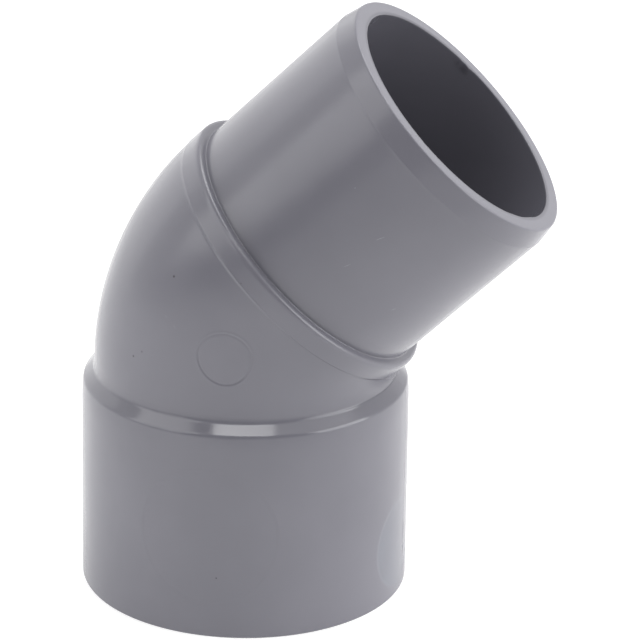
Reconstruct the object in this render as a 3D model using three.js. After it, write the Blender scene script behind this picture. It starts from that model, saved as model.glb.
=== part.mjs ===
// Forty-five degree street elbow for 40 mm solvent-weld PVC pipe: a plain socket at the bottom, a short
// bend, and a spigot that leans towards +X. Millimetres, +Z up along the socket's axis. The origin is
// the middle of the bounding box, at the level of the socket's mouth.
//
// The real fitting is one injection moulding. It is modelled as its working regions, cut square across
// the waterway, each one closed solid that meets the next face to face.

import * as THREE from "three";

// Driving dimensions
const BEND_ANGLE = THREE.MathUtils.degToRad(45);
const CENTRE_HEIGHT = 41.52;         // from the socket's mouth to where the two axes cross
const BEND_RADIUS = 24.2;            // radius of the bend's centre line
const BEND_TUBE_RADIUS = 21.36;      // outside of the bend
const WATERWAY_RADIUS = 17.3;        // bore through the bend and the spigot

const SOCKET_DEPTH = 27;             // how far a pipe goes in before it meets the stop
const SOCKET_MOUTH_RADIUS = 23.14;   // outside, at the mouth
const SOCKET_TOP_RADIUS = 23;        // outside, at the pipe stop
const PIPE_FIT_MOUTH_RADIUS = 20.25; // bore for the pipe at the mouth: a 40.5 mm opening
const PIPE_FIT_ROOT_RADIUS = 20.1;   // the same bore at the stop: 40.2 mm
const MOUTH_LEAD_IN = 0.9;           // chamfer that guides the pipe into the mouth

const SHOULDER_EDGE_HEIGHT = 29.95;  // where the barrel's side meets the shoulder's cone
const SHOULDER_EDGE_RADIUS = 22.87;
const SHOULDER_TOP_RADIUS = 21.4;    // where the cone meets the bend
const SHOULDER_ROUND = 0.5;
const STOP_CHAMFER = 0.5;

const COLLAR_END = 12.9;             // along the spigot's axis from where the axes cross
const COLLAR_RADIUS = 21.46;
const COLLAR_ROUND = 1;

const SPIGOT_RADIUS = 20.15;         // a 40.3 mm outside diameter
const SPIGOT_ROOT_RADIUS = 20.1;
const TAPER_START = 38.1;            // along the spigot's axis
const TAPER_END_RADIUS = 19.55;
const SPIGOT_END = 41.05;
const END_ROUND = 0.25;

const EDGE_ROUND = 0.25;             // small rounds on the moulding's free edges
const SPLIT_GAP = 0.02;              // hairline between regions that meet on a turned face
const ROUND_STEPS = 3;
const SECTION_SIDES = 72;
const BEND_STEPS = 12;

// Derived dimensions
const BEND_RUN = BEND_RADIUS * Math.tan(BEND_ANGLE / 2);
const BEND_START_HEIGHT = CENTRE_HEIGHT - BEND_RUN;
const SPIGOT_REACH = (SPIGOT_END + TAPER_END_RADIUS - END_ROUND / 2) * Math.SQRT1_2;
const SOCKET_AXIS_X = (SOCKET_MOUTH_RADIUS - SPIGOT_REACH) / 2;

// Closed outline through [radius, height, round] corners, where round is how far the corner is cut back.
function outline(corners) {
  const points = corners.map(([radius, height]) => new THREE.Vector2(radius, height));
  const path = new THREE.Path();
  corners.forEach(([, , round = 0], i) => {
    const corner = points[i];
    const before = points.at(i - 1);
    const after = points[(i + 1) % points.length];
    const start = before.clone().sub(corner).setLength(round).add(corner);
    const end = after.clone().sub(corner).setLength(round).add(corner);
    if (i === 0) path.moveTo(start.x, start.y);
    else path.lineTo(start.x, start.y);
    if (round > 0) path.quadraticCurveTo(corner.x, corner.y, end.x, end.y);
  });
  path.closePath();
  return path.getPoints(ROUND_STEPS);
}

// Ring turned from an outline about the Z axis.
function turned(corners) {
  const geometry = new THREE.LatheGeometry(outline(corners), SECTION_SIDES);
  return geometry.rotateX(Math.PI / 2);
}

function region(name, geometry, color) {
  const material = new THREE.MeshStandardMaterial({ color, roughness: 0.42, metalness: 0 });
  const mesh = new THREE.Mesh(geometry, material);
  mesh.name = name;
  return mesh;
}

// The pipe's sleeve: a drafted barrel with a lead-in at its mouth.
function socketBarrel() {
  return turned([
    [PIPE_FIT_MOUTH_RADIUS + MOUTH_LEAD_IN, 0],
    [SOCKET_MOUTH_RADIUS, 0, EDGE_ROUND],
    [SOCKET_TOP_RADIUS, SOCKET_DEPTH],
    [PIPE_FIT_ROOT_RADIUS, SOCKET_DEPTH],
    [PIPE_FIT_MOUTH_RADIUS, MOUTH_LEAD_IN],
  ]);
}

// The barrel's closed end: the step inside stops the pipe, and the cone outside runs in to the bend.
function socketShoulder() {
  return turned([
    [SOCKET_TOP_RADIUS, SOCKET_DEPTH],
    [SHOULDER_EDGE_RADIUS, SHOULDER_EDGE_HEIGHT, SHOULDER_ROUND],
    [SHOULDER_TOP_RADIUS, BEND_START_HEIGHT],
    [WATERWAY_RADIUS, BEND_START_HEIGHT],
    [WATERWAY_RADIUS, SOCKET_DEPTH + STOP_CHAMFER],
    [WATERWAY_RADIUS + STOP_CHAMFER, SOCKET_DEPTH],
  ]);
}

// Centre line of the bend, from straight up to the spigot's lean.
class BendLine extends THREE.Curve {
  getPoint(t) {
    const turn = t * BEND_ANGLE;
    return new THREE.Vector3(
      BEND_RADIUS * (1 - Math.cos(turn)),
      0,
      BEND_START_HEIGHT + BEND_RADIUS * Math.sin(turn),
    );
  }

  getTangent(t) {
    const turn = t * BEND_ANGLE;
    return new THREE.Vector3(Math.sin(turn), 0, Math.cos(turn));
  }
}

// Thick-walled round tube swept along the bend.
function bendTube() {
  const section = new THREE.Shape().absarc(0, 0, BEND_TUBE_RADIUS, 0, 2 * Math.PI);
  section.holes.push(new THREE.Path().absarc(0, 0, WATERWAY_RADIUS, 0, 2 * Math.PI));
  return new THREE.ExtrudeGeometry(section, {
    steps: BEND_STEPS,
    curveSegments: SECTION_SIDES / 2,
    extrudePath: new BendLine(),
  });
}

// Flush with the bend outside; its front face is what the next socket's mouth comes up against.
function stopCollar() {
  return turned([
    [WATERWAY_RADIUS, BEND_RUN + SPLIT_GAP],
    [COLLAR_RADIUS, BEND_RUN + SPLIT_GAP],
    [COLLAR_RADIUS, COLLAR_END, COLLAR_ROUND],
    [WATERWAY_RADIUS, COLLAR_END],
  ]);
}

// The part of the spigot that is cemented into the next socket.
function spigotTube() {
  return turned([
    [WATERWAY_RADIUS, COLLAR_END + SPLIT_GAP],
    [SPIGOT_ROOT_RADIUS, COLLAR_END + SPLIT_GAP],
    [SPIGOT_RADIUS, TAPER_START],
    [WATERWAY_RADIUS, TAPER_START],
  ]);
}

// Slight cone at the spigot's free end, with a flat end face.
function spigotLeadIn() {
  return turned([
    [WATERWAY_RADIUS, TAPER_START + SPLIT_GAP],
    [SPIGOT_RADIUS, TAPER_START + SPLIT_GAP],
    [TAPER_END_RADIUS, SPIGOT_END, END_ROUND],
    [WATERWAY_RADIUS, SPIGOT_END, EDGE_ROUND],
  ]);
}

function spigotArm() {
  const arm = new THREE.Group();
  arm.position.z = CENTRE_HEIGHT;
  arm.rotation.y = BEND_ANGLE;
  arm.add(
    region("stop_collar", stopCollar(), 0x86868b),
    region("spigot_tube", spigotTube(), 0x84848a),
    region("spigot_lead_in", spigotLeadIn(), 0x8b8b90),
  );
  return arm;
}

const elbow = new THREE.Group();
elbow.position.x = SOCKET_AXIS_X;
elbow.add(
  region("socket_barrel", socketBarrel(), 0x88888d),
  region("socket_shoulder", socketShoulder(), 0x8a8a8e),
  region("bend_tube", bendTube(), 0x86868b),
  spigotArm(),
);

export default elbow;
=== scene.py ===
"""Looks of a 45 degree PVC street elbow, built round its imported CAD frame.

The fitting is one grey moulding. Each CAD region is replaced by a finer mesh of the same region, and every mesh comes
from one mapping: a station along the centre line, an angle round it and a radius. Lengths are in millimetres until a
mesh is made."""

import math

import bpy
import numpy as np
from mathutils import Matrix, Vector


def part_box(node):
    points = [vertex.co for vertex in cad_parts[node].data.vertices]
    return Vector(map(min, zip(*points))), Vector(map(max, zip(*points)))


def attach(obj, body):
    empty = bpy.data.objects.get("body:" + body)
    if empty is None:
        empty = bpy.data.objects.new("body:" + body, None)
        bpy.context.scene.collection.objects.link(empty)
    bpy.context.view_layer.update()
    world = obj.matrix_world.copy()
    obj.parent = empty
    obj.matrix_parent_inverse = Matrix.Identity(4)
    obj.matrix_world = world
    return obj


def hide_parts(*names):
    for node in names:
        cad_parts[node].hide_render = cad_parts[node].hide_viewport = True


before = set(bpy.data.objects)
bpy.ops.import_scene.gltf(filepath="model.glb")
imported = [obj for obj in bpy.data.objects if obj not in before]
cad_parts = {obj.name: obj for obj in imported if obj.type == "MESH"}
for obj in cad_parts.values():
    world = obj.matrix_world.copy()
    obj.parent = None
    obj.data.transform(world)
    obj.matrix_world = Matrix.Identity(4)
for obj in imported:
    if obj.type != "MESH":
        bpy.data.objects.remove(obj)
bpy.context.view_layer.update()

MM = 0.001


def cad_box_mm(node):
    low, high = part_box(node)
    return np.array(low) / MM, np.array(high) / MM


# ---------------------------------------------------------------------------------------------------------------------
# Shape of the fitting
# ---------------------------------------------------------------------------------------------------------------------

barrel_low, barrel_high = cad_box_mm("socket_barrel")
shoulder_high = cad_box_mm("socket_shoulder")[1]

AXIS_X = (barrel_low[0] + barrel_high[0]) / 2   # the socket's axis
STOP = barrel_high[2]                           # height of the pipe stop
BEND_START = shoulder_high[2]

BEND_ANGLE = math.radians(45)
BEND_RADIUS = 24.2
BEND_TUBE_RADIUS = 21.3
WATERWAY_RADIUS = 17.3
BEND_RUN = BEND_RADIUS * math.tan(BEND_ANGLE / 2)
BEND_END = BEND_START + BEND_RADIUS * BEND_ANGLE
SPIGOT_ORIGIN = BEND_END - BEND_RUN             # station of the point where the two axes cross, along the spigot

MOUTH_RADIUS = 23.11
BARREL_TOP_RADIUS = 23.0
SHOULDER_EASE = 28.2                            # where the barrel's side starts to lean in, below the shoulder's edge
SHOULDER_EDGE = 29.95
SHOULDER_EDGE_RADIUS = 22.84
SHOULDER_TOP_RADIUS = 21.37
SHOULDER_ROUND = 0.3
CREASE_FILLET = 0.3
SPLIT = BEND_START + 0.7                        # where the shoulder's mesh ends and the bend's begins

SOCKET_MOUTH_BORE = 20.25
SOCKET_ROOT_BORE = 20.1
MOUTH_LEAD_IN = 0.9
STOP_CHAMFER = 0.5
EDGE_ROUND = 0.25

COLLAR_END = SPIGOT_ORIGIN + 12.9
COLLAR_RADIUS = 21.45
COLLAR_ROUND = 0.8
ROOT_FILLET = 0.15
SPIGOT_START = COLLAR_END + ROOT_FILLET + 0.1   # where the collar's mesh ends and the spigot's begins
SPIGOT_RADIUS = 20.145
SPIGOT_ROOT_RADIUS = 20.1
TAPER_START = SPIGOT_ORIGIN + 38.1
SPIGOT_END = SPIGOT_ORIGIN + 41.05
TAPER_END_RADIUS = 19.545
END_ROUND = 0.25

INSERT_LINE = SPIGOT_ORIGIN + 9.74              # where the mould's spigot insert ends, on the collar's band
BEND_SWELL = 0.08                               # how much thicker the bend's outside gets towards the insert line
THROAT_SPREAD = math.radians(36)                # how far round the throat the stepped flash goes

SOCKET_SKIN = 22.2                              # the relief is added beyond these radii
BODY_SKIN = 20.9
SPIGOT_SKIN = 19.7


def barrel_radius(station):
    return MOUTH_RADIUS + (BARREL_TOP_RADIUS - MOUTH_RADIUS) * station / STOP


def place(station, radius, angle):
    """Points at an angle round the centre line: 0 is the throat side, -90 degrees the side that faces -Y."""
    station, radius, angle = np.broadcast_arrays(station, radius, angle)
    turn = np.clip((station - BEND_START) / BEND_RADIUS, 0, BEND_ANGLE)
    straight = np.where(station < BEND_START, station - BEND_START, np.maximum(station - BEND_END, 0))
    inward = radius * np.cos(angle)
    x = BEND_RADIUS * (1 - np.cos(turn)) + straight * np.sin(turn) + inward * np.cos(turn)
    z = BEND_START + BEND_RADIUS * np.sin(turn) + straight * np.cos(turn) - inward * np.sin(turn)
    return np.stack([AXIS_X + x, radius * np.sin(angle), z], axis=-1)


# ---------------------------------------------------------------------------------------------------------------------
# Relief that the mould leaves on the outer surface, as a height over a station and an angle
# ---------------------------------------------------------------------------------------------------------------------

PIN_MARK = {"station": (BEND_START + BEND_END) / 2, "angle": math.radians(-90), "radius": 3.8}
SIZE_INSERT = {"station": 14.9, "angle": math.radians(-90), "radius": 9.85}
GATE_PAD = {"station": 8.0, "angle": math.radians(-7.1), "radius": 6.6}
GATE_STUB_START = 6.5


def ramp(value, low, high):
    t = np.clip((value - low) / (high - low), 0, 1)
    return t * t * (3 - 2 * t)


def bump(distance, width):
    return np.exp(-((distance / width) ** 2))


def round_mark_distance(mark, station, angle, surface_radius):
    """Distance from a round mark's centre, over the surface."""
    turn = (station - BEND_START) / BEND_RADIUS
    on_bend = (turn > 0) & (turn < BEND_ANGLE)
    across = surface_radius * (angle - mark["angle"])
    stretch = np.where(on_bend, 1 - surface_radius * np.cos(angle) / BEND_RADIUS, 1)
    return np.hypot((station - mark["station"]) * stretch, across)


def pin_mark_relief(station, angle):
    """An ejector pin's print: a raised hairline of flash outside a shallow groove, round a disc just below the skin."""
    distance = round_mark_distance(PIN_MARK, station, angle, BEND_TUBE_RADIUS)
    rim = distance - PIN_MARK["radius"]
    lip = 0.03 * bump(rim - 0.12, 0.13)
    groove = -0.045 * bump(rim + 0.13, 0.13)
    disc = -0.02 * (1 - ramp(rim, -0.2, 0.05))
    return lip + groove + disc


def size_insert_relief(station, angle):
    """A very faint round print of an insert in the mould."""
    distance = round_mark_distance(SIZE_INSERT, station, angle, barrel_radius(station))
    rim = distance - SIZE_INSERT["radius"]
    return -0.03 * (1 - ramp(rim, -0.15, 0.15)) + 0.015 * bump(rim - 0.1, 0.15)


def gate_relief(station, angle):
    """The round pad that the runner's gate was broken off, with the torn stub on the parting plane."""
    surface = barrel_radius(station)
    distance = round_mark_distance(GATE_PAD, station, angle, surface)
    rim = distance - GATE_PAD["radius"]
    pad = -0.04 * (1 - ramp(rim, -0.25, 0.2))
    along = station - GATE_STUB_START
    across = surface * angle
    pit = -0.16 * bump(np.hypot(along + 0.8, across), 0.35)
    stub = 0.05 * bump(across, 0.3) * ramp(along, 0.3, 0.8) * (1 - ramp(along, 2.6, 3.4))
    return pad + pit + stub


def parting_line(station, angle):
    """Hairline of flash where the two halves of the mould meet, along the throat and along the back."""
    from_line = BEND_TUBE_RADIUS * np.minimum(np.abs(angle), np.pi - np.abs(angle))
    return 0.025 * bump(from_line, 0.1)


def barrel_relief(station, angle):
    return size_insert_relief(station, angle) + gate_relief(station, angle) + parting_line(station, angle)


def bend_relief(station, angle):
    """The pin's print, the fine ridge along the insert line, the step up to the collar's band behind it, and the
    stepped flash in the throat beside it."""
    to_line = station - INSERT_LINE
    swell = BEND_SWELL * np.clip((station - SPLIT) / (INSERT_LINE - SPLIT), 0, 1)
    ridge = 0.035 * bump(to_line, 0.13)
    band = (COLLAR_RADIUS - BEND_TUBE_RADIUS - BEND_SWELL) * ramp(to_line, -0.05, 0.12)
    throat = np.exp(-((angle / THROAT_SPREAD) ** 4))
    ledge = throat * (-0.10 * ramp(to_line, -0.9, -0.7) * (1 - ramp(to_line, -0.16, -0.04)))
    flash = throat * 0.05 * bump(to_line + 0.95, 0.12)
    marks = pin_mark_relief(station, angle) + ridge + ledge + flash
    return swell + band + marks + parting_line(station, angle)


def spigot_relief(station, angle):
    """The parting line, and a faint witness ring where the lead-in taper starts."""
    return parting_line(station, angle) + 0.015 * bump(station - TAPER_START + 0.15, 0.14)


# ---------------------------------------------------------------------------------------------------------------------
# Meshes
# ---------------------------------------------------------------------------------------------------------------------

ROUND_STEPS = 6
PARTING_WINDOWS = [(-180, -179.4, 0.12), (-0.6, 0.6, 0.12), (179.4, 180, 0.12)]


def section(corners):
    """Closed section through (station, radius, round, step) corners: round is how far a corner is cut back, and step
    how finely the stretch to the next corner is divided."""
    points = [np.array(corner[:2], float) for corner in corners]
    count = len(points)
    result = []
    for i, (_, _, cut, step) in enumerate(corners):
        here, before, after = points[i], points[i - 1], points[(i + 1) % count]
        next_cut = corners[(i + 1) % count][2]
        toward_before = (before - here) / np.linalg.norm(before - here)
        toward_after = (after - here) / np.linalg.norm(after - here)
        if cut > 0:
            for t in np.linspace(0, 1, ROUND_STEPS + 1):
                start, end = here + toward_before * cut, here + toward_after * cut
                result.append((1 - t) ** 2 * start + 2 * t * (1 - t) * here + t * t * end)
        else:
            result.append(here)
        first, last = result[-1], after - toward_after * next_cut
        pieces = max(1, math.ceil(np.linalg.norm(last - first) / step))
        result += [first + (last - first) * j / pieces for j in range(1, pieces)]
    return np.array(result)


def angles(step, windows=()):
    """Angles round the whole circle in radians, from steps in degrees, finer inside each (low, high, step) window."""
    windows = [*windows, *PARTING_WINDOWS]
    edges = sorted({-180.0, 180.0, *(edge for window in windows for edge in window[:2])})
    result = []
    for low, high in zip(edges[:-1], edges[1:]):
        middle = (low + high) / 2
        fine = min([window[2] for window in windows if window[0] < middle < window[1]] + [step])
        pieces = max(1, math.ceil((high - low) / fine))
        result += [low + (high - low) * j / pieces for j in range(pieces)]
    return np.radians(result)


def ring_piece(name, outline, round_angles, reshape=None):
    """Closed ring swept round the centre line. reshape(stations, radii, angles) gives moved stations and radii."""
    stations, radii = outline[:, 0][:, None], outline[:, 1][:, None]
    turns = round_angles[None, :]
    stations, radii, turns = np.broadcast_arrays(stations, radii, turns)
    if reshape:
        stations, radii = reshape(stations, radii, turns)
    points = place(stations, radii, turns).reshape(-1, 3)
    rows, columns = len(outline), len(round_angles)
    row, column = np.meshgrid(np.arange(rows), np.arange(columns), indexing="ij")
    next_row, next_column = (row + 1) % rows, (column + 1) % columns
    quads = np.stack([
        row * columns + column,
        row * columns + next_column,
        next_row * columns + next_column,
        next_row * columns + column,
    ], axis=-1).reshape(-1, 4)
    corners = points[quads]
    volume = np.einsum("ij,ij->i", corners[:, 0], np.cross(corners[:, 1], corners[:, 2])).sum()
    volume += np.einsum("ij,ij->i", corners[:, 0], np.cross(corners[:, 2], corners[:, 3])).sum()
    if volume < 0:
        quads = quads[:, ::-1]
    mesh = bpy.data.meshes.new(name)
    mesh.from_pydata((points * MM).tolist(), [], quads.tolist())
    mesh.shade_smooth()
    mesh.set_sharp_from_angle(angle=math.radians(40))
    piece = bpy.data.objects.new(name, mesh)
    bpy.context.scene.collection.objects.link(piece)
    return piece


def on_outside(relief, smallest_radius):
    """Adds relief to the part of a section beyond a radius, and leaves the bore and the end faces alone."""
    def reshape(stations, radii, turns):
        share = ramp(radii, smallest_radius, smallest_radius + 0.3)
        return stations, radii + share * relief(stations, turns)
    return reshape


def socket_barrel():
    outline = section([
        (0, SOCKET_MOUTH_BORE + MOUTH_LEAD_IN, 0.12, 0.5),
        (0, MOUTH_RADIUS, EDGE_ROUND, 0.2),
        (STOP, barrel_radius(STOP), 0, 2),
        (STOP, SOCKET_ROOT_BORE, 0, 3),
        (MOUTH_LEAD_IN, SOCKET_MOUTH_BORE, 0.1, 0.5),
    ])
    round_angles = angles(1.5, [(-117, -63, 0.5), (-24, 14, 0.5)])
    return ring_piece("socket_barrel_moulding", outline, round_angles, on_outside(barrel_relief, SOCKET_SKIN))


def socket_shoulder():
    outline = section([
        (STOP, barrel_radius(STOP), 0, 0.25),
        (SHOULDER_EASE, barrel_radius(SHOULDER_EASE), 0.8, 0.2),
        (SHOULDER_EDGE, SHOULDER_EDGE_RADIUS, SHOULDER_ROUND, 0.2),
        (BEND_START, SHOULDER_TOP_RADIUS, CREASE_FILLET, 0.2),
        (SPLIT, BEND_TUBE_RADIUS, 0, 2),
        (SPLIT, WATERWAY_RADIUS, 0, 2),
        (STOP + STOP_CHAMFER, WATERWAY_RADIUS, 0.1, 0.5),
        (STOP, WATERWAY_RADIUS + STOP_CHAMFER, 0.1, 2),
    ])
    return ring_piece("socket_shoulder_moulding", outline, angles(1), on_outside(parting_line, BODY_SKIN))


def bend_tube():
    outline = section([
        (SPLIT, BEND_TUBE_RADIUS, 0, 0.12),
        (INSERT_LINE - 0.8, BEND_TUBE_RADIUS, 0, 0.05),
        (BEND_END, BEND_TUBE_RADIUS, 0, 2),
        (BEND_END, WATERWAY_RADIUS, 0, 1),
        (SPLIT, WATERWAY_RADIUS, 0, 2),
    ])
    round_angles = angles(1.2, [(-102, -78, 0.3)])
    return ring_piece("bend_tube_moulding", outline, round_angles, on_outside(bend_relief, BODY_SKIN))


def stop_collar():
    outline = section([
        (BEND_END, WATERWAY_RADIUS, 0, 2),
        (BEND_END, COLLAR_RADIUS, 0, 0.3),
        (COLLAR_END, COLLAR_RADIUS, COLLAR_ROUND, 0.2),
        (COLLAR_END, SPIGOT_ROOT_RADIUS, ROOT_FILLET, 0.2),
        (SPIGOT_START, SPIGOT_ROOT_RADIUS, 0, 2),
        (SPIGOT_START, WATERWAY_RADIUS, 0, 1),
    ])
    return ring_piece("stop_collar_moulding", outline, angles(1), on_outside(parting_line, SPIGOT_SKIN))


def spigot_tube():
    outline = section([
        (SPIGOT_START, SPIGOT_ROOT_RADIUS, 0, 0.5),
        (TAPER_START - 0.4, SPIGOT_RADIUS, 0, 0.06),
        (TAPER_START, SPIGOT_RADIUS, 0, 2),
        (TAPER_START, WATERWAY_RADIUS, 0, 2),
        (SPIGOT_START, WATERWAY_RADIUS, 0, 2),
    ])
    return ring_piece("spigot_tube_moulding", outline, angles(1), on_outside(spigot_relief, SPIGOT_SKIN))


def rim_reshape(stations, radii, turns):
    """The end's small faults: a torn burr on the far side of the bore's edge, a chip on the near side and flash low on
    the rim."""
    to_end = SPIGOT_END - stations
    at_edge = (1 - ramp(radii, WATERWAY_RADIUS, WATERWAY_RADIUS + 0.5)) * (1 - ramp(to_end, 0.3, 1.4))
    degrees = np.degrees(turns)
    burr = 0.28 * bump(degrees - 97, 2.2) + 0.12 * bump(degrees - 101.5, 1.5)
    chip = -0.12 * bump(degrees + 97, 1.2)
    flash = 0.12 * bump(degrees + 24, 5) + 0.08 * bump(degrees + 38, 4)
    return stations, radii - at_edge * (burr + chip + flash)


def spigot_lead_in():
    outline = section([
        (TAPER_START, WATERWAY_RADIUS, 0, 2),
        (TAPER_START, SPIGOT_RADIUS, 0, 0.15),
        (SPIGOT_END, TAPER_END_RADIUS, END_ROUND, 0.2),
        (SPIGOT_END, WATERWAY_RADIUS, 0.2, 0.3),
    ])
    round_angles = angles(1, [(88, 110, 0.4), (-102, -92, 0.4), (-50, -10, 0.7)])
    return ring_piece("spigot_lead_in_moulding", outline, round_angles, rim_reshape)


# ---------------------------------------------------------------------------------------------------------------------
# Material
# ---------------------------------------------------------------------------------------------------------------------

class Shading:
    """Short forms for the nodes of a material or a world. A material's coordinates are the frame's, in metres."""

    def __init__(self, owner, shader="Principled BSDF", coords="Object"):
        owner.use_nodes = True
        self.nodes, self.links = owner.node_tree.nodes, owner.node_tree.links
        self.shader = self.nodes[shader]
        self.coords = self.nodes.new("ShaderNodeTexCoord").outputs[coords]

    def feed(self, socket, value):
        if isinstance(value, bpy.types.NodeSocket):
            self.links.new(value, socket)
        else:
            socket.default_value = value

    def math(self, operation, first, second=0.0):
        node = self.nodes.new("ShaderNodeMath")
        node.operation = operation
        self.feed(node.inputs[0], first)
        self.feed(node.inputs[1], second)
        return node.outputs["Value"]

    def vector(self, operation, first, second=(0, 0, 0), output="Vector"):
        node = self.nodes.new("ShaderNodeVectorMath")
        node.operation = operation
        self.feed(node.inputs[0], first)
        self.feed(node.inputs[1], second)
        return node.outputs[output]

    def toward(self, way):
        """How far the coordinates lie along a unit vector."""
        return self.vector("DOT_PRODUCT", self.coords, way, output="Value")

    def noise(self, wavelength_mm, detail):
        node = self.nodes.new("ShaderNodeTexNoise")
        self.links.new(self.coords, node.inputs["Vector"])
        node.inputs["Scale"].default_value = 1 / (wavelength_mm * MM)
        node.inputs["Detail"].default_value = detail
        return node.outputs["Fac"]

    def ramp(self, value, low, high, at_low, at_high):
        node = self.nodes.new("ShaderNodeMapRange")
        node.interpolation_type = "SMOOTHSTEP"
        self.feed(node.inputs["Value"], value)
        for socket, number in (("From Min", low), ("From Max", high), ("To Min", at_low), ("To Max", at_high)):
            node.inputs[socket].default_value = number
        return node.outputs["Result"]

    def mix(self, share, first, second):
        node = self.nodes.new("ShaderNodeMix")
        node.data_type = "RGBA"
        self.feed(node.inputs["Factor"], share)
        self.feed(node.inputs["A"], first)
        self.feed(node.inputs["B"], second)
        return node.outputs["Result"]

    def bump(self, height, depth_mm, below=None):
        node = self.nodes.new("ShaderNodeBump")
        node.inputs["Distance"].default_value = depth_mm * MM
        self.links.new(height, node.inputs["Height"])
        if below:
            self.links.new(below, node.inputs["Normal"])
        return node.outputs["Normal"]

    def near(self, point, radius_mm, soft_mm):
        """1 within a radius of a point and 0 beyond it, with a soft edge."""
        distance = self.vector("DISTANCE", self.coords, point, output="Value")
        return self.ramp(distance, (radius_mm - soft_mm) * MM, (radius_mm + soft_mm) * MM, 1, 0)

    def along(self, start, end, width_mm):
        """1 on the straight line between two points and 0 beyond its width, thinner towards its ends."""
        to_start = self.vector("DISTANCE", self.coords, start, output="Value")
        to_end = self.vector("DISTANCE", self.coords, end, output="Value")
        detour = self.math("SUBTRACT", self.math("ADD", to_start, to_end), (Vector(start) - Vector(end)).length)
        return self.ramp(detour, 0, (width_mm * MM) ** 2 / (Vector(start) - Vector(end)).length, 1, 0)


def on_surface(station, angle):
    """Point of the outer surface, in metres, at an angle in degrees."""
    if station < STOP:
        radius = barrel_radius(station)
    elif station < COLLAR_END:
        radius = BEND_TUBE_RADIUS + BEND_SWELL / 2
    else:
        radius = SPIGOT_RADIUS
    return Vector(place(station, radius, math.radians(angle)).tolist()) * MM


SPECKS = [                                      # station, angle in degrees, radius
    (45.2, -122.4, 0.16), (36.0, -125.4, 0.13), (36.9, -121.7, 0.10), (28.6, -106.2, 0.17),
    (9.0, -86.6, 0.10), (50.5, -101.6, 0.12),
    (14.0, 118.0, 0.13), (43.0, 96.0, 0.12), (66.0, 60.0, 0.10), (33.5, 151.0, 0.12),
]
SCRATCHES = [                                   # both ends as station and angle, and half the width
    ((49.6, -117.0), (44.7, -114.2), 0.05), ((41.6, -117.5), (41.2, -111.1), 0.05),
    ((62.1, -81.6), (63.6, -80.2), 0.06), ((61.3, -53.4), (62.3, -51.8), 0.06),
    ((68.1, -81.4), (69.6, -79.8), 0.05), ((12.0, 140.0), (16.5, 143.5), 0.05),
    ((58.0, 96.0), (63.0, 92.5), 0.05), ((7.5, 72.0), (9.0, 80.0), 0.05), ((71.0, -101.3), (71.2, -101.1), 0.07),
]


CLOUD_DARK, CLOUD_LIGHT = (0.170, 0.168, 0.196, 1), (0.186, 0.183, 0.213, 1)
PAD_COLOUR = (0.195, 0.218, 0.255, 1)
SPECK_COLOUR = (0.03, 0.025, 0.025, 1)
SCRATCH_COLOUR = (0.42, 0.42, 0.45, 1)
# painted shade colour for the inside of the bore
BORE_SHADE_COLOUR = (0.07, 0.068, 0.085, 1)
SMOOTHEST, ROUGHEST = 0.205, 0.262
CONE_HEIGHT = 30.7                              # middle of the shoulder's cone, which is smoother than the rest
CONE_POLISH = 0.11
PVC_IOR = 1.53


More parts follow.
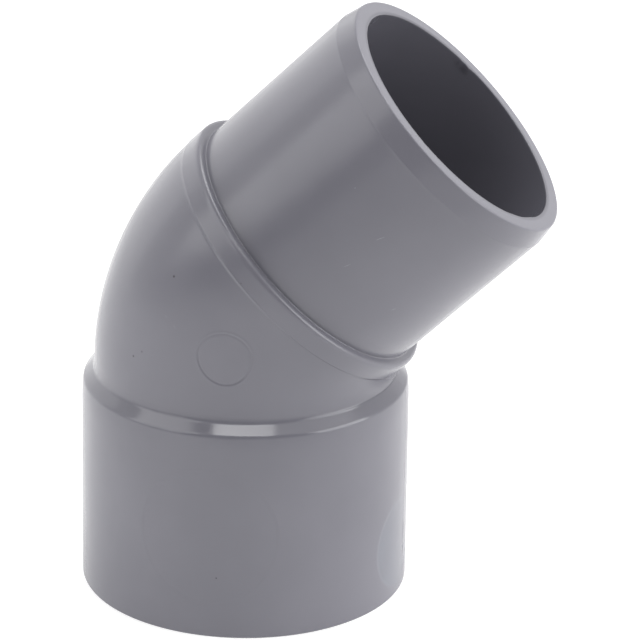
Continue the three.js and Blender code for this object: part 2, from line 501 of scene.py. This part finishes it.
def grey_pvc():
    """Satin grey moulding: faint flow clouds, a fine orange peel, stray dark specks, a few light scratches, a paler
    print round the gate, painted shade that darkens the bore on the spigot's side and a smoother cone on the shoulder."""
    material = bpy.data.materials.new("grey_pvc_moulding")
    look = Shading(material)
    cloud = look.ramp(look.noise(22, 3), 0.3, 0.7, 0, 1)
    colour = look.mix(cloud, CLOUD_DARK, CLOUD_LIGHT)

    gate = on_surface(GATE_PAD["station"], math.degrees(GATE_PAD["angle"]))
    pad = look.near(gate, GATE_PAD["radius"], 0.35)
    patchy = look.ramp(look.noise(6, 2), 0.25, 0.75, 0.2, 0.4)
    pad = look.math("MULTIPLY", pad, patchy)
    pad = look.math("MULTIPLY", pad, look.ramp(look.toward((0, 1, 0)), -7 * MM, 0, 1, 0.25))
    colour = look.mix(pad, colour, PAD_COLOUR)

    specks = 0.0
    for station, angle, radius in SPECKS:
        specks = look.math("MAXIMUM", specks, look.near(on_surface(station, angle), radius, radius / 2))
    colour = look.mix(look.math("MULTIPLY", specks, 0.8), colour, SPECK_COLOUR)

    scratches = 0.0
    for start, end, width in SCRATCHES:
        scratches = look.math("MAXIMUM", scratches, look.along(on_surface(*start), on_surface(*end), width))
    colour = look.mix(look.math("MULTIPLY", scratches, 0.5), colour, SCRATCH_COLOUR)

    # Painted shade: the bore's colour is darkened from a few millimetres past the bend towards the spigot's end, where
    # shade falls inside it.
    along_spigot = Vector((math.sin(BEND_ANGLE), 0, math.cos(BEND_ANGLE)))
    from_crossing = look.vector("SUBTRACT", look.coords, Vector((AXIS_X, 0, BEND_START + BEND_RUN)) * MM)
    aside = look.vector("CROSS_PRODUCT", from_crossing, along_spigot)
    from_axis = look.vector("LENGTH", aside, output="Value")
    bore_shade = look.ramp(from_axis, (WATERWAY_RADIUS + 0.2) * MM, (WATERWAY_RADIUS + 0.7) * MM, 1, 0)
    onward = look.vector("DOT_PRODUCT", from_crossing, along_spigot, output="Value")
    bore_shade = look.math("MULTIPLY", bore_shade, look.ramp(onward, 2 * MM, 8 * MM, 0, 1))
    colour = look.mix(look.math("MULTIPLY", bore_shade, 0.45), colour, BORE_SHADE_COLOUR)
    look.links.new(colour, look.shader.inputs["Base Color"])

    roughness = look.ramp(look.noise(9, 4), 0.3, 0.7, SMOOTHEST, ROUGHEST)
    roughness = look.math("ADD", roughness, look.math("MULTIPLY", scratches, 0.2))
    from_cone = look.math("ABSOLUTE", look.math("SUBTRACT", look.toward((0, 0, 1)), CONE_HEIGHT * MM))
    polished = look.ramp(from_cone, 0.7 * MM, 1.1 * MM, 1, 0)
    roughness = look.math("SUBTRACT", roughness, look.math("MULTIPLY", polished, CONE_POLISH))
    look.links.new(roughness, look.shader.inputs["Roughness"])
    look.shader.inputs["IOR"].default_value = PVC_IOR

    peel = look.bump(look.noise(1.4, 2), 0.006)
    grain = look.bump(look.noise(0.3, 1), 0.0008, below=peel)
    look.links.new(grain, look.shader.inputs["Normal"])
    return material


# ---------------------------------------------------------------------------------------------------------------------
# The pieces on their body
# ---------------------------------------------------------------------------------------------------------------------

pvc = grey_pvc()
pieces = {
    "socket_barrel": socket_barrel(),
    "socket_shoulder": socket_shoulder(),
    "bend_tube": bend_tube(),
    "stop_collar": stop_collar(),
    "spigot_tube": spigot_tube(),
    "spigot_lead_in": spigot_lead_in(),
}
for node, piece in pieces.items():
    piece.data.materials.append(pvc)
    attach(piece, "root")
    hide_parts(node)


# ---------------------------------------------------------------------------------------------------------------------
# Floor, light and camera
# ---------------------------------------------------------------------------------------------------------------------

def direction(azimuth, elevation):
    """Unit vector from the object: azimuth 0 is straight out of its -Y side and 90 degrees is +X."""
    azimuth, elevation = math.radians(azimuth), math.radians(elevation)
    return Vector((
        math.sin(azimuth) * math.cos(elevation),
        -math.cos(azimuth) * math.cos(elevation),
        math.sin(elevation),
    ))


FLOOR_HALF = 2.5
GLOW_LEFT, GLOW_RIGHT = 0.68, 0.54


def floor():
    """White light table: it glows from below, less towards the right, and not at all in front on the right."""
    mesh = bpy.data.meshes.new("floor")
    corners = [(x * FLOOR_HALF, y * FLOOR_HALF, 0) for x, y in ((-1, -1), (1, -1), (1, 1), (-1, 1))]
    mesh.from_pydata(corners, [], [(0, 1, 2, 3)])
    obj = bpy.data.objects.new("floor", mesh)
    bpy.context.scene.collection.objects.link(obj)
    material = bpy.data.materials.new("light_table")
    look = Shading(material)
    look.shader.inputs["Base Color"].default_value = (0.55, 0.55, 0.55, 1)
    look.shader.inputs["Roughness"].default_value = 0.9
    look.shader.inputs["Emission Color"].default_value = (1, 1, 1, 1)
    glow = look.math(
        "MULTIPLY",
        look.ramp(look.toward(direction(35, 0)), 0.07, 0.15, 1, 0),
        look.ramp(look.toward(direction(270, 0)), -0.04, 0.06, GLOW_RIGHT, GLOW_LEFT),
    )
    look.links.new(glow, look.shader.inputs["Emission Strength"])
    mesh.materials.append(material)


def softbox(name, azimuth, elevation, distance, width, height, radiance):
    """Rectangular area light in metres that faces the middle of the object."""
    light = bpy.data.lights.new(name, "AREA")
    light.shape = "RECTANGLE"
    light.size, light.size_y = width, height
    light.energy = radiance * math.pi * width * height
    obj = bpy.data.objects.new(name, light)
    bpy.context.scene.collection.objects.link(obj)
    out = direction(azimuth, elevation)
    obj.location = Vector((0, 0, 0.04)) + out * distance
    obj.rotation_euler = out.to_track_quat("Z", "Y").to_euler()


def studio_walls():
    """White walls behind, which fade out towards the camera."""
    world = bpy.data.worlds.new("studio_walls")
    bpy.context.scene.world = world
    look = Shading(world, "Background", "Generated")
    look.shader.inputs["Color"].default_value = (1, 1, 1, 1)
    strength = look.ramp(look.toward(direction(190, 0)), -0.5, 0.3, 0, 0.93)
    look.links.new(strength, look.shader.inputs["Strength"])


def camera():
    """A long lens in front of the -Y side, a little towards the spigot's lean and above."""
    out, roll = direction(11.56, 21.55), math.radians(1.02)
    target = Vector((0.04, 3.2, 37.75))
    distance = 476.7
    data = bpy.data.cameras.new("camera")
    data.sensor_width = 36
    data.lens = 191.3
    data.clip_start = 0.01
    obj = bpy.data.objects.new("camera", data)
    bpy.context.scene.collection.objects.link(obj)
    turn = out.to_track_quat("Z", "Y").to_matrix() @ Matrix.Rotation(roll, 3, "Z")
    obj.matrix_world = Matrix.Translation((target + out * distance) * MM) @ turn.to_4x4()
    bpy.context.scene.camera = obj


floor()
studio_walls()
softbox("right_softbox", azimuth=84, elevation=20, distance=0.85, width=0.65, height=0.62, radiance=3.7)
softbox("right_high", azimuth=84, elevation=56, distance=0.85, width=0.65, height=0.4, radiance=1.1)
softbox("left_softbox", azimuth=306, elevation=34, distance=0.9, width=0.7, height=0.75, radiance=1.95)
softbox("left_wall", azimuth=232, elevation=12, distance=1.0, width=1.0, height=0.8, radiance=0.55)
softbox("rim_light", azimuth=145, elevation=58, distance=0.9, width=0.6, height=0.5, radiance=3.6)
softbox("key", azimuth=10, elevation=61, distance=0.9, width=0.5, height=0.14, radiance=5.8)
camera()
bpy.context.scene.view_settings.view_transform = "Standard"
